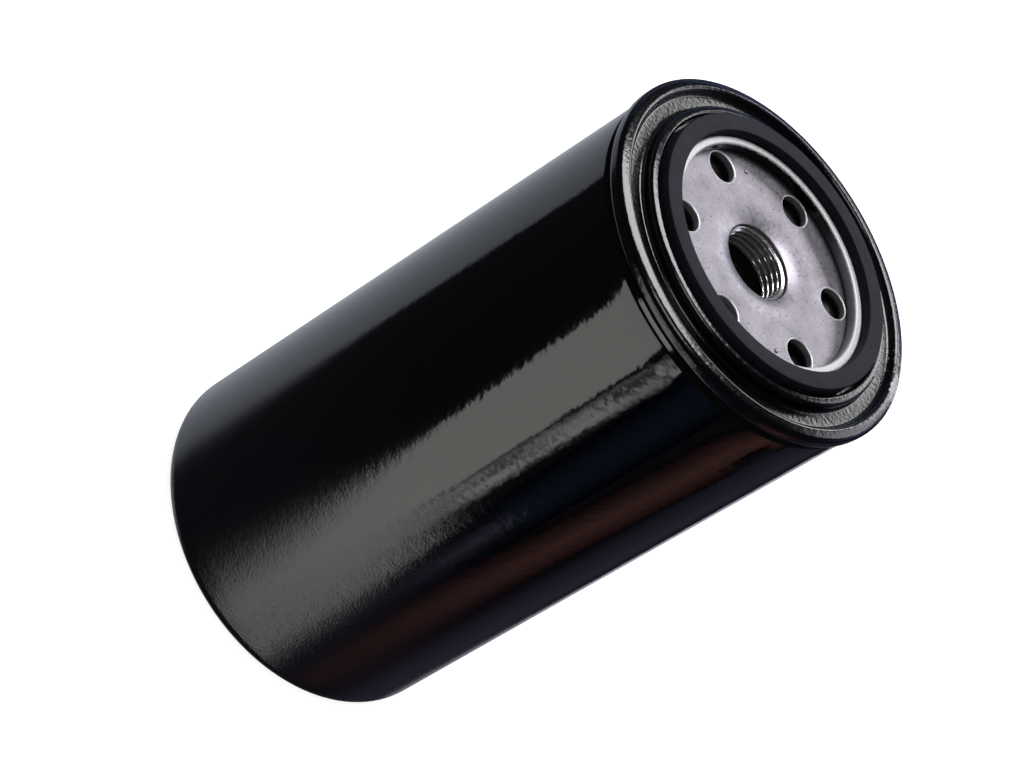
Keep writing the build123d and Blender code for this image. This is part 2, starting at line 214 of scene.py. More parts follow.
def sheet_section(corners, sheet, side):
    """Closed section of a pressed sheet; the second face lies to the left (1) or right (-1)."""
    points = [Vector((radius, height)) for radius, height, _ in corners]
    steps = [(end - start).normalized() for start, end in zip(points, points[1:])]
    steps = [steps[0], *steps, steps[-1]]
    other_face = []
    for point, (_, _, corner), before, after in zip(points, corners, steps, steps[1:]):
        normal = Vector((-before.y - after.y, before.x + after.x)) * side
        moved = point + normal * (sheet / (1 + before.dot(after)))
        turn = cross(before, after) * side
        bend = corner - math.copysign(sheet, turn) if abs(turn) > 0.001 else 0
        other_face.append((moved.x, moved.y, max(bend, 0)))
    return [*corners, *reversed(other_face)]


def turned_mesh(corners, centre=(0, 0), columns=around, short=None):
    """Vertices and faces of a closed section turned about an upright axis.
    A straight stretch at the radius named in short is cut at its step, a pair (radius, step)."""
    section = rounded(corners)
    points = []
    for start, end in zip(section, section[1:] + section[:1]):
        step_length = long_step
        if short and max(abs(start.x - short[0]), abs(end.x - short[0])) < same_spot:
            step_length = short[1]
        pieces = max(1, math.ceil((end - start).length / step_length))
        points += [start.lerp(end, step / pieces) for step in range(pieces)]
    vertices, rings = [], []
    for point in points:
        if abs(point.x) < same_spot:
            rings.append([len(vertices)] * columns)
            vertices.append((centre[0], centre[1], point.y))
            continue
        rings.append(list(range(len(vertices), len(vertices) + columns)))
        for step in range(columns):
            angle = 2 * math.pi * step / columns
            x, y = point.x * math.cos(angle), point.x * math.sin(angle)
            vertices.append((centre[0] + x, centre[1] + y, point.y))
    faces = []
    for ring, following in zip(rings, rings[1:] + rings[:1]):
        for step in range(columns):
            after = (step + 1) % columns
            face = [ring[step], ring[after], following[after], following[step]]
            face = list(dict.fromkeys(face))
            if len(face) > 2:
                faces.append(face)
    return vertices, faces


def turned(name, corners, material, body, node):
    """A closed section turned about Z as one smooth mesh that stands for its CAD node."""
    dress(raw(name, *turned_mesh(corners)), material, body, node)


def raw(name, vertices, faces):
    """Mesh object with outward faces and no finish yet."""
    mesh = bpy.data.meshes.new(name)
    mesh.from_pydata(vertices, [], faces)
    piece = bpy.data.objects.new(name, mesh)
    bpy.context.scene.collection.objects.link(piece)
    outward(piece)
    return piece


def dress(piece, material, body, node, sharp=35):
    """Smooth shading that keeps edges sharper than an angle in degrees, the finish, and the CAD
    body and node that the piece stands for."""
    piece.data.shade_smooth()
    piece.data.set_sharp_from_angle(angle=math.radians(sharp))
    piece.data.materials.clear()
    piece.data.materials.append(material)
    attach(piece, body)
    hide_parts(node)


def settle(piece):
    """Keeps what a piece's modifiers make as its own mesh, and removes them."""
    bpy.context.view_layer.update()
    result = piece.evaluated_get(bpy.context.evaluated_depsgraph_get())
    mesh = bpy.data.meshes.new_from_object(result)
    piece.modifiers.clear()
    piece.data = mesh


def combine(piece, tools, operation):
    """Cuts the tools out of a piece, or adds them to it, and removes them."""
    for tool in tools:
        step = piece.modifiers.new("step", "BOOLEAN")
        step.object = tool
        step.operation = operation
        step.solver = "MANIFOLD"
    settle(piece)
    for tool in tools:
        bpy.data.objects.remove(tool)


def outward(piece):
    """Turns every face of a closed mesh to point out."""
    mesh = bmesh.new()
    mesh.from_mesh(piece.data)
    bmesh.ops.remove_doubles(mesh, verts=mesh.verts, dist=same_spot)
    bmesh.ops.recalc_face_normals(mesh, faces=mesh.faces)
    mesh.to_mesh(piece.data)
    mesh.free()


slot_of = {entry["node"]: entry["material_slot"] for entry in frame["record"]["subparts"]}


# --- Materials -------------------------------------------------------------------------------
def linear(colour):
    """sRGB hex value to the linear colour that the shader takes."""
    channels = [int(colour[place:place + 2], 16) / 255 for place in (1, 3, 5)]
    straight = [c / 12.92 if c <= 0.04045 else ((c + 0.055) / 1.055) ** 2.4 for c in channels]
    return (*straight, 1)


def add(tree, kind, inputs=(), **settings):
    """Adds a node with its settings. Inputs pair a socket's name or number with a value, or with
    the node or socket to link to it."""
    node = tree.nodes.new(kind)
    for name, value in settings.items():
        setattr(node, name, value)
    for socket, value in dict(inputs).items():
        if isinstance(value, bpy.types.Node):
            value = value.outputs[0]
        if isinstance(value, bpy.types.NodeSocket):
            tree.links.new(value, node.inputs[socket])
        else:
            node.inputs[socket].default_value = value
    return node


def new_material(name):
    """Empty material with its tree and its object coordinates."""
    material = bpy.data.materials.new(name)
    material.use_nodes = True
    tree = material.node_tree
    tree.nodes.clear()
    return material, tree, add(tree, "ShaderNodeTexCoord").outputs["Object"]


def finish(tree, inputs):
    """Principled shader on the material's output."""
    shader = add(tree, "ShaderNodeBsdfPrincipled", inputs)
    add(tree, "ShaderNodeOutputMaterial", {"Surface": shader})


def baked_enamel():
    """Black baking enamel sprayed on drawn steel. It shows as a deep mirror with an orange peel
    of a few millimetres that frays the edges of reflections, and as a dry, gritty coat towards
    the closed end, where less of the spray lands."""
    material, tree, place = new_material("black_baking_enamel")
    height = add(tree, "ShaderNodeSeparateXYZ", {0: place}).outputs["Z"]
    dry = add(
        tree, "ShaderNodeMapRange",
        {"Value": height, "From Min": 110 * mm, "From Max": 5 * mm},
        interpolation_type="SMOOTHSTEP",
    )
    peel = add(
        tree, "ShaderNodeTexNoise", {"Vector": place, "Scale": 1 / (2.6 * mm), "Detail": 1.5},
    )
    peel_relief = add(tree, "ShaderNodeBump", {"Height": peel, "Distance": 0.03 * mm})
    grit = add(
        tree, "ShaderNodeTexNoise", {"Vector": place, "Scale": 1 / (0.5 * mm), "Detail": 1.0},
    )
    grit_height = add(tree, "ShaderNodeMath", {0: grit, 1: dry}, operation="MULTIPLY")
    relief = add(
        tree, "ShaderNodeBump",
        {"Height": grit_height, "Distance": 0.055 * mm, "Normal": peel_relief},
    )
    tone = add(
        tree, "ShaderNodeMix",
        {0: dry, 6: linear("#010104"), 7: linear("#05040a")}, data_type="RGBA",
    )
    rough = add(tree, "ShaderNodeMapRange", {"Value": dry, "To Min": 0.06, "To Max": 0.2})
    finish(tree, {
        "Base Color": tone.outputs[2],
        "Roughness": rough,
        "IOR": 1.5,
        "Normal": relief,
    })
    return material


def worn_enamel():
    """The same enamel on the pressed lid, after handling. The rolled hem is rubbed to bare
    bright steel with a ragged edge of paint, and its bare steel is darker below the crest as
    painted shade. The seam's crest has small chips, crowded on one side of the rim as partly
    painted highlight, and one patch of painted highlight drawn as bright bare steel. The valley
    is scuffed to a fine tooth."""
    material, tree, place = new_material("worn_baking_enamel")
    flat = add(tree, "ShaderNodeVectorMath", {0: place, 1: (1, 1, 0)}, operation="MULTIPLY")
    radius = add(tree, "ShaderNodeVectorMath", {0: flat}, operation="LENGTH").outputs["Value"]
    tear = add(
        tree, "ShaderNodeTexNoise",
        {"Vector": place, "Scale": 1 / (2.0 * mm), "Detail": 4.0, "Roughness": 0.65},
    )
    height = add(tree, "ShaderNodeSeparateXYZ", {0: place}).outputs["Z"]
    torn_height = add(
        tree, "ShaderNodeMath", {0: tear, 1: 1.3 * mm, 2: height}, operation="MULTIPLY_ADD",
    )
    rolled_top = add(
        tree, "ShaderNodeMapRange",
        {"Value": torn_height, "From Min": crest_z + 0.9 * mm, "From Max": crest_z + 1.05 * mm},
    )
    in_hem = add(
        tree, "ShaderNodeMapRange",
        {"Value": radius, "From Min": hem_outer_radius + 0.4 * mm,
         "From Max": hem_outer_radius + 0.2 * mm},
    )
    rubbed_side = add(
        tree, "ShaderNodeVectorMath", {0: place, 1: direction(-58, 0)}, operation="DOT_PRODUCT",
    ).outputs["Value"]
    rubbed_wall = add(
        tree, "ShaderNodeMapRange",
        {"Value": rubbed_side, "From Min": 16 * mm, "From Max": 25 * mm, "To Max": 0.85},
        interpolation_type="SMOOTHSTEP",
    )
    hem_rub = add(tree, "ShaderNodeMath", {0: rolled_top, 1: rubbed_wall}, operation="MAXIMUM")
    hem_bare = add(tree, "ShaderNodeMath", {0: hem_rub, 1: in_hem}, operation="MULTIPLY")
    speckle = add(
        tree, "ShaderNodeTexNoise",
        {"Vector": place, "Scale": 1 / (0.9 * mm), "Detail": 3.0, "Roughness": 0.6},
    )
    # Chips crowd towards one side of the rim, where they are partly wear and partly painted
    # highlight.
    highlight_side = add(
        tree, "ShaderNodeVectorMath", {0: place, 1: direction(-50, 0)}, operation="DOT_PRODUCT",
    ).outputs["Value"]
    knocks_and_painted_highlight = add(
        tree, "ShaderNodeMapRange",
        {"Value": highlight_side, "From Min": rim_radius - 16 * mm, "From Max": rim_radius,
         "To Max": 0.16},
    )
    chip_and_highlight_level = add(tree, "ShaderNodeMath", {0: speckle, 1: knocks_and_painted_highlight}, operation="ADD")
    chips_and_painted_highlight = add(tree, "ShaderNodeMapRange", {"Value": chip_and_highlight_level, "From Min": 0.79, "From Max": 0.83})
    # A patch on the seam's crest drawn as bright bare steel: painted highlight.
    painted_highlight_centre = direction(-68, 0) * (rim_radius - 1.9 * mm) + Vector((0, 0, crest_z))
    from_highlight_centre = add(
        tree, "ShaderNodeVectorMath", {0: place, 1: painted_highlight_centre}, operation="SUBTRACT",
    )
    along = add(
        tree, "ShaderNodeVectorMath",
        {0: from_highlight_centre, 1: direction(22, 0) / (5.5 * mm)}, operation="DOT_PRODUCT",
    ).outputs["Value"]
    across = add(
        tree, "ShaderNodeVectorMath",
        {0: from_highlight_centre, 1: direction(-68, 0) / (1.1 * mm)}, operation="DOT_PRODUCT",
    ).outputs["Value"]
    highlight_distance = add(tree, "ShaderNodeCombineXYZ", {"X": along, "Y": across})
    highlight_distance = add(
        tree, "ShaderNodeVectorMath", {0: highlight_distance}, operation="LENGTH",
    ).outputs["Value"]
    highlight_distance = add(
        tree, "ShaderNodeMath", {0: speckle, 1: 1.6, 2: highlight_distance}, operation="MULTIPLY_ADD",
    )
    painted_highlight_patch = add(
        tree, "ShaderNodeMapRange", {"Value": highlight_distance, "From Min": 1.75, "From Max": 1.6},
    )
    chips_and_painted_highlight = add(tree, "ShaderNodeMath", {0: chips_and_painted_highlight, 1: painted_highlight_patch}, operation="MAXIMUM")
    bare_and_painted_highlight = add(tree, "ShaderNodeMath", {0: hem_bare, 1: chips_and_painted_highlight}, operation="MAXIMUM")
    # Bare steel turns darker from just above the crest to 2 mm below it: painted shade towards the
    # plate.
    painted_shade_below_crest = add(
        tree, "ShaderNodeMapRange",
        {"Value": height, "From Min": crest_z + 0.5 * mm, "From Max": crest_z - 2 * mm},
    )
    steel = add(
        tree, "ShaderNodeMix",
        {0: speckle, 6: linear("#a09fa3"), 7: linear("#c9c8ca")}, data_type="RGBA",
    )
    steel = add(
        tree, "ShaderNodeMix",
        {0: painted_shade_below_crest, 6: steel.outputs[2], 7: linear("#6b696c")}, data_type="RGBA",
    )
    colour = add(
        tree, "ShaderNodeMix",
        {0: bare_and_painted_highlight, 6: linear("#020206"), 7: steel.outputs[2]}, data_type="RGBA",
    )
    metal = add(tree, "ShaderNodeMath", {0: bare_and_painted_highlight, 1: 0.4}, operation="MULTIPLY")
    scuffed = add(
        tree, "ShaderNodeMapRange",
        {"Value": speckle, "From Min": 0.3, "From Max": 0.7, "To Min": 0.1, "To Max": 0.22},
    )
    rough = add(
        tree, "ShaderNodeMath", {0: bare_and_painted_highlight, 1: 0.38, 2: scuffed}, operation="MULTIPLY_ADD",
    )
    peel = add(
        tree, "ShaderNodeTexNoise", {"Vector": place, "Scale": 1 / (1.3 * mm), "Detail": 2.0},
    )
    peel_relief = add(tree, "ShaderNodeBump", {"Height": peel, "Distance": 0.06 * mm})
    relief = add(
        tree, "ShaderNodeBump",
        {"Height": speckle, "Distance": 0.018 * mm, "Normal": peel_relief},
    )
    finish(tree, {
        "Base Color": colour.outputs[2],
        "Metallic": metal,
        "Roughness": rough,
        "Normal": relief,
    })
    return material


def phosphated_steel():
    """Pressed steel with a thin phosphate coat: warm lavender grey, clouded, with fine dark pits.
    The tapped bore and the punched edges of the inlets are freshly cut and bright."""
    material, tree, place = new_material("phosphated_pressed_steel")
    flat = add(tree, "ShaderNodeVectorMath", {0: place, 1: (1, 1, 0)}, operation="MULTIPLY")
    radius = add(tree, "ShaderNodeVectorMath", {0: flat}, operation="LENGTH").outputs["Value"]
    split = add(tree, "ShaderNodeSeparateXYZ", {0: place})
    angle = add(
        tree, "ShaderNodeMath",
        {0: split.outputs["Y"], 1: split.outputs["X"]}, operation="ARCTAN2",
    )
    half_pitch = math.pi / inlet_count
    angle = add(tree, "ShaderNodeMath", {0: angle, 1: half_pitch, 2: -half_pitch}, operation="WRAP")
    sine = add(tree, "ShaderNodeMath", {0: angle}, operation="SINE")
    cosine = add(tree, "ShaderNodeMath", {0: angle}, operation="COSINE")
    beside = add(tree, "ShaderNodeMath", {0: radius, 1: sine}, operation="MULTIPLY")
    outwards = add(
        tree, "ShaderNodeMath",
        {0: radius, 1: cosine, 2: -inlet_circle_radius}, operation="MULTIPLY_ADD",
    )
    from_inlet = add(tree, "ShaderNodeCombineXYZ", {"X": outwards, "Y": beside})
    from_inlet = add(
        tree, "ShaderNodeVectorMath", {0: from_inlet}, operation="LENGTH",
    ).outputs["Value"]
    in_inlet = add(
        tree, "ShaderNodeMapRange",
        {"Value": from_inlet, "From Min": inlet_radius + 0.42 * mm,
         "From Max": inlet_radius + 0.3 * mm},
    )
    at_face = add(
        tree, "ShaderNodeMapRange",
        {"Value": split.outputs["Z"], "From Min": plate_top_z - 0.45 * mm,
         "From Max": plate_top_z - 0.2 * mm},
    )
    punched = add(tree, "ShaderNodeMath", {0: in_inlet, 1: at_face}, operation="MULTIPLY")
    # Inside the inlets the walls turn near-black below the face: painted shade.
    shade = add(
        tree, "ShaderNodeMapRange",
        {"Value": split.outputs["Z"], "From Min": plate_top_z - 1.3 * mm,
         "From Max": plate_top_z - 2.0 * mm},
    )
    painted_inlet_shade = add(tree, "ShaderNodeMath", {0: in_inlet, 1: shade}, operation="MULTIPLY")
    tapped = add(
        tree, "ShaderNodeMapRange",
        {"Value": radius, "From Min": thread_radius + 0.03 * mm,
         "From Max": thread_radius - 0.05 * mm},
    )
    cut = add(tree, "ShaderNodeMath", {0: punched, 1: tapped}, operation="MAXIMUM")
    cloud = add(
        tree, "ShaderNodeTexNoise",
        {"Vector": place, "Scale": 1 / (7 * mm), "Detail": 4.0, "Roughness": 0.6},
    )
    cloud = add(tree, "ShaderNodeMapRange", {"Value": cloud, "From Min": 0.3, "From Max": 0.7})
    coat = add(
        tree, "ShaderNodeMix",
        {0: cloud, 6: linear("#6b686f"), 7: linear("#858189")}, data_type="RGBA",
    )
    pit = add(
        tree, "ShaderNodeTexNoise",
        {"Vector": place, "Scale": 1 / (0.6 * mm), "Detail": 2.0, "Roughness": 0.6},
    )
    pitted = add(tree, "ShaderNodeMapRange", {"Value": pit, "From Min": 0.6, "From Max": 0.72})
    coat = add(
        tree, "ShaderNodeMix",
        {0: pitted, 6: coat.outputs[2], 7: linear("#3f3c44")}, data_type="RGBA",
    )
    colour = add(
        tree, "ShaderNodeMix",
        {0: cut, 6: coat.outputs[2], 7: linear("#c6c4c6")}, data_type="RGBA",
    )
    # Painted shade: near-black on the inlet walls below the face.
    colour = add(
        tree, "ShaderNodeMix",
        {0: painted_inlet_shade, 6: colour.outputs[2], 7: linear("#08070a")}, data_type="RGBA",
    )
    grain = add(
        tree, "ShaderNodeTexNoise", {"Vector": place, "Scale": 1 / (1.3 * mm), "Detail": 3.0},
    )
    coat_rough = add(
        tree, "ShaderNodeMapRange",
        {"Value": grain, "From Min": 0.3, "From Max": 0.7, "To Min": 0.26, "To Max": 0.36},
    )
    rough = add(
        tree, "ShaderNodeMath", {0: cut, 1: -0.1, 2: coat_rough}, operation="MULTIPLY_ADD",
    )
    relief = add(tree, "ShaderNodeBump", {"Height": pit, "Distance": 0.02 * mm})
    metal = add(
        tree, "ShaderNodeMath", {0: in_inlet, 1: -0.6, 2: 0.85}, operation="MULTIPLY_ADD",
    )
    finish(tree, {
        "Base Color": colour.outputs[2],
        "Metallic": metal,
        "Roughness": rough,
        "Normal": relief,
    })
    return material


def nitrile_rubber():
    """Moulded nitrile rubber: matte blue-black, with a faint bloom of wax and a fine tooth."""
    material, tree, place = new_material("moulded_nitrile_rubber")
    bloom = add(
        tree, "ShaderNodeTexNoise",
        {"Vector": place, "Scale": 1 / (5 * mm), "Detail": 5.0, "Roughness": 0.65},
    )
    bloom = add(tree, "ShaderNodeMapRange", {"Value": bloom, "From Min": 0.35, "From Max": 0.75})
    colour = add(
        tree, "ShaderNodeMix",
        {0: bloom, 6: linear("#12141a"), 7: linear("#1c1f29")}, data_type="RGBA",
    )
    tooth = add(
        tree, "ShaderNodeTexNoise",
        {"Vector": place, "Scale": 1 / (0.5 * mm), "Detail": 3.0},
    )
    relief = add(tree, "ShaderNodeBump", {"Height": tooth, "Distance": 0.05 * mm})
    finish(tree, {
        "Base Color": colour.outputs[2],
        "Roughness": 0.75,
        "Specular IOR Level": 0.2,
        "Normal": relief,
    })
    return material


def silicone_rubber():
    """Moulded silicone rubber of the anti-drain valve: dark brown, satin, with a soft cloud."""
    material, tree, place = new_material("moulded_silicone_rubber")
    cloud = add(tree, "ShaderNodeTexNoise", {"Vector": place, "Scale": 1 / (4 * mm), "Detail": 3.0})
    colour = add(
        tree, "ShaderNodeMix",
        {0: cloud, 6: linear("#0b0807"), 7: linear("#15100d")}, data_type="RGBA",
    )
    tooth = add(
        tree, "ShaderNodeTexNoise",
        {"Vector": place, "Scale": 1 / (0.7 * mm), "Detail": 2.0},
    )
    relief = add(tree, "ShaderNodeBump", {"Height": tooth, "Distance": 0.02 * mm})
    finish(tree, {
        "Base Color": colour.outputs[2],
        "Roughness": 0.5,
        "IOR": 1.41,
        "Normal": relief,
    })
    return material


def tinplate():
    """Cold-rolled tinplate: bright and faintly yellow, with fine rolling lines and dull spangle."""
    material, tree, place = new_material("rolled_tinplate")
    spangle = add(
        tree, "ShaderNodeTexVoronoi", {"Vector": place, "Scale": 1 / (3.5 * mm)},
        feature="F1",
    ).outputs["Color"]
    tone = add(tree, "ShaderNodeSeparateColor", {0: spangle})
    colour = add(
        tree, "ShaderNodeMix",
        {0: tone, 6: linear("#b1afa6"), 7: linear("#c6c3b8")}, data_type="RGBA",
    )
    stretched = add(
        tree, "ShaderNodeVectorMath", {0: place, 1: (1 / 12, 1, 1)}, operation="MULTIPLY",
    )
    lines = add(
        tree, "ShaderNodeTexNoise",
        {"Vector": stretched, "Scale": 1 / (0.4 * mm), "Detail": 2.0},
    )
    rough = add(tree, "ShaderNodeMapRange", {"Value": lines, "To Min": 0.22, "To Max": 0.4})
    relief = add(tree, "ShaderNodeBump", {"Height": lines, "Distance": 0.006 * mm})
    finish(tree, {
        "Base Color": colour.outputs[2],
        "Metallic": 1.0,
        "Roughness": rough,
        "Normal": relief,
    })
    return material


def oiled_spring_wire():
    """Oil-tempered spring wire: dark grey steel with straw-coloured heat patches under oil."""
    material, tree, place = new_material("oil_tempered_wire")
    heat = add(
        tree, "ShaderNodeTexNoise",
        {"Vector": place, "Scale": 1 / (6 * mm), "Detail": 3.0},
    )
    heat = add(tree, "ShaderNodeMapRange", {"Value": heat, "From Min": 0.35, "From Max": 0.7})
    colour = add(
        tree, "ShaderNodeMix",
        {0: heat, 6: linear("#5f5f63"), 7: linear("#7d7464")}, data_type="RGBA",
    )
    drawn = add(
        tree, "ShaderNodeTexNoise",
        {"Vector": place, "Scale": 1 / (0.5 * mm), "Detail": 2.0},
    )
    rough = add(tree, "ShaderNodeMapRange", {"Value": drawn, "To Min": 0.22, "To Max": 0.42})
    relief = add(tree, "ShaderNodeBump", {"Height": drawn, "Distance": 0.01 * mm})
    finish(tree, {
        "Base Color": colour.outputs[2],
        "Metallic": 1.0,
        "Roughness": rough,
        "Normal": relief,
    })
    return material


def sealing_compound():
    """Solvent-laid rubber compound in the seam: putty grey, slightly porous."""
    material, tree, place = new_material("seam_sealing_compound")
    pores = add(
        tree, "ShaderNodeTexNoise",
        {"Vector": place, "Scale": 1 / (1 * mm), "Detail": 4.0},
    )
    colour = add(
        tree, "ShaderNodeMix",
        {0: pores, 6: linear("#857c6c"), 7: linear("#a69e90")}, data_type="RGBA",
    )
    relief = add(tree, "ShaderNodeBump", {"Height": pores, "Distance": 0.05 * mm})
    finish(tree, {"Base Color": colour.outputs[2], "Roughness": 0.65, "Normal": relief})
    return material


def cured_plastisol():
    """Plastisol adhesive cured in the end caps: orange-red, glossy, with slow runs and bubbles."""
    material, tree, place = new_material("cured_plastisol_adhesive")
    runs = add(tree, "ShaderNodeTexNoise", {"Vector": place, "Scale": 1 / (6 * mm), "Detail": 3.0})
    colour = add(
        tree, "ShaderNodeMix",
        {0: runs, 6: linear("#98451f"), 7: linear("#c26a38")}, data_type="RGBA",
    )
    bubbles = add(tree, "ShaderNodeTexVoronoi", {"Vector": place, "Scale": 1 / (1.8 * mm)})
    pocks = add(tree, "ShaderNodeMapRange", {"Value": bubbles, "From Min": 0.05, "From Max": 0.25})
    relief = add(tree, "ShaderNodeBump", {"Height": pocks, "Distance": 0.05 * mm})
    finish(tree, {"Base Color": colour.outputs[2], "Roughness": 0.35, "Normal": relief})
    return material


def filter_paper():
    """Cellulose filter paper set with phenolic resin: straw yellow, mottled by its fibres."""
    material, tree, place = new_material("resin_set_filter_paper")
    fibres = add(
        tree, "ShaderNodeTexNoise",
        {"Vector": place, "Scale": 1 / (1.2 * mm), "Detail": 6.0, "Roughness": 0.7},
    )
    fibres = add(tree, "ShaderNodeMapRange", {"Value": fibres, "From Min": 0.3, "From Max": 0.7})
    resin = add(
        tree, "ShaderNodeTexNoise",
        {"Vector": place, "Scale": 1 / (18 * mm), "Detail": 2.0},
    )
    sheet = add(
        tree, "ShaderNodeMix",
        {0: fibres, 6: linear("#c9a964"), 7: linear("#e4cd92")}, data_type="RGBA",
    )
    colour = add(
        tree, "ShaderNodeMix",
        {0: resin, 6: sheet.outputs[2], 7: linear("#c99f55")}, data_type="RGBA",
    )
    relief = add(tree, "ShaderNodeBump", {"Height": fibres, "Distance": 0.06 * mm})
    finish(tree, {
        "Base Color": colour.outputs[2],
        "Roughness": 0.88,
        "Sheen Weight": 0.15,
        "Normal": relief,
    })
    return material


def vulcanised_fibre():
    """Vulcanised fibre washer: red-brown, hard and matte, with a felted surface."""
    material, tree, place = new_material("vulcanised_fibre")
    felt = add(
        tree, "ShaderNodeTexNoise",
        {"Vector": place, "Scale": 1 / (0.8 * mm), "Detail": 5.0},
    )
    colour = add(
        tree, "ShaderNodeMix",
        {0: felt, 6: linear("#5c291f"), 7: linear("#84483a")}, data_type="RGBA",
    )
    relief = add(tree, "ShaderNodeBump", {"Height": felt, "Distance": 0.04 * mm})
    finish(tree, {"Base Color": colour.outputs[2], "Roughness": 0.75, "Normal": relief})
    return material


enamel = baked_enamel()
lid_enamel = worn_enamel()
plate_steel = phosphated_steel()
gasket_rubber = nitrile_rubber()
spring_wire = oiled_spring_wire()
paper = filter_paper()
finishes = {
    "black_paint": enamel,
    "zinc_plated_steel": plate_steel,
    "tinplate": tinplate(),
    "spring_steel": spring_wire,
    "gasket_rubber": gasket_rubber,
    "valve_rubber": silicone_rubber(),
    "sealant": sealing_compound(),
    "adhesive": cured_plastisol(),
    "filter_paper": paper,
    "fibre_washer": vulcanised_fibre(),
}
for node, piece in frame["nodes"].items():
    piece.data.materials.clear()
    piece.data.materials.append(finishes[slot_of[node]])


# --- Pieces ----------------------------------------------------------------------------------
def make_can():
    """Drawn can: recessed closed end, straight wall, neck and the body hook inside the seam."""
    ring_inner = can_radius - closed_end_round - standing_ring_width
    neck_top_z = seam_bottom_z - neck_gap
    hook_under_z = body_hook_top_z - can_sheet
    hook_bottom_z = seam_bottom_z + lid_sheet + seam_clearance
    corners = [
        (0, closed_end_recess, 0),
        (ring_inner - recess_slope, closed_end_recess, recess_round),
        (ring_inner, 0, recess_round),
        (can_radius, 0, closed_end_round),
        (can_radius, neck_top_z - neck_height, neck_round),
        (body_wall_outer, neck_top_z, neck_round),
        (body_wall_outer, hook_under_z, body_hook_round),
        (body_hook_inner, hook_under_z, body_hook_round),
        (body_hook_inner, hook_bottom_z, 0),
    ]
    turned("can", sheet_section(corners, can_sheet, 1), enamel, "housing", "shell")


def make_lid():
    """Lid: hemmed opening, gasket seat, retaining lip, valley and the cover hook of the seam."""
    hook_top_z = body_hook_top_z - can_sheet - seam_clearance
    corners = [
        (lid_opening_radius, crest_z - hem_drop, 0),
        (lid_opening_radius, crest_z + hem_height, hem_round),
        (hem_outer_radius, crest_z + hem_height, hem_round),
        (hem_outer_radius, gasket_floor_z, seat_round),
        (lip_inner_radius, gasket_floor_z, seat_round),
        (lip_inner_radius, crest_z + lip_height, lip_inner_round),
        (lip_outer_radius, crest_z + lip_height - crest_fall, lip_outer_round),
        (lip_outer_radius, crest_z - valley_depth, valley_foot_round),
        (chuck_radius, crest_z - valley_depth, valley_wall_round),
        (chuck_radius, crest_z, crest_inner_round),
        (rim_radius, crest_z - 2 * crest_fall, crest_outer_round),
        (rim_radius, seam_bottom_z, seam_foot_round),
        (cover_hook_inner, seam_bottom_z, cover_hook_round),
        (cover_hook_inner, hook_top_z, 0),
    ]
    turned("lid", sheet_section(corners, lid_sheet, -1), lid_enamel, "housing", "seaming_lid")


def make_gasket():
    """Square-cut ring with softly broken edges."""
    corners = [
        (gasket_inner_radius, gasket_floor_z, gasket_foot_round),
        (gasket_outer_radius, gasket_floor_z, gasket_foot_round),
        (gasket_outer_radius, gasket_top_z, gasket_face_round),
        (gasket_inner_radius, gasket_top_z, gasket_face_round),
    ]
    turned("gasket", corners, gasket_rubber, "housing", "mounting_gasket")


def funnel_face():
    """Points (radius, height) down the funnel, which steepens towards the bore."""
    width = (funnel_radius - mouth_radius) / funnel_steps
    face = [(funnel_radius, plate_top_z)]
    for step in range(funnel_steps):
        slope = funnel_end_slope * ((step + 0.5) / funnel_steps) ** funnel_growth
        radius, height = face[-1]
        face.append((radius - width, height - width * math.tan(slope)))
    return face


def plate_section():
    """Half section of the tapped plate: flat face, funnel, bored hub."""
    *face, (_, lip_z) = funnel_face()
    return [
        (thread_radius, hub_bottom_z, plate_edge_round),
        (hub_radius, hub_bottom_z, hub_end_round),
        (hub_radius, plate_bottom_z, hub_foot_round),
        (plate_radius, plate_bottom_z, plate_edge_round),
        (plate_radius, plate_top_z, plate_edge_round),
        *[(radius, height, 0) for radius, height in face],
        (mouth_radius, lip_z, mouth_roll),
        (thread_radius, lip_z - mouth_drop, 0),
    ]


def on_inlet_circle(angle):
    """Centre (x, y) on the circle of the inlets."""
    return inlet_circle_radius * math.cos(angle), inlet_circle_radius * math.sin(angle)


def inlet_cutter(angle):
    """Punch for one inlet: straight through, with a rolled edge at the face."""
    below = plate_bottom_z - 1 * mm
    above = plate_top_z + 0.2 * mm
    corners = [
        (0, below, 0),
        (inlet_radius, below, 0),
        (inlet_radius, plate_top_z, inlet_roll),
        (inlet_radius + inlet_roll, plate_top_z, 0),
        (inlet_radius + inlet_roll, above, 0),
        (0, above, 0),
    ]
    return raw("cutter", *turned_mesh(corners, on_inlet_circle(angle), around_inlet))


def pip(angle):
    """Small round pip that the press leaves on the face."""
    corners = [
        (0, plate_top_z - pip_height, 0),
        (pip_radius, plate_top_z - pip_height, 0),
        (pip_radius, plate_top_z + pip_height, pip_round),
        (0, plate_top_z + pip_height, 0),
    ]
    return raw("pip", *turned_mesh(corners, on_inlet_circle(angle), around_pip))


def thread_relief(height, angle, mouth_z):
    """How far the thread's metal stands in from the groove's bottom, at a height and an angle.
    It fades out at both ends of the hub."""
    phase = (height / thread_pitch - angle / (2 * math.pi)) % 1
    from_groove = abs(phase - 0.5) * thread_pitch
    rise = max(0, from_groove - thread_root_flat / 2) / math.tan(thread_flank)
    runout = min(1, (mouth_z - height) / thread_start, (height - hub_bottom_z) / thread_end)
    return min(rise, thread_depth) * max(0, runout)


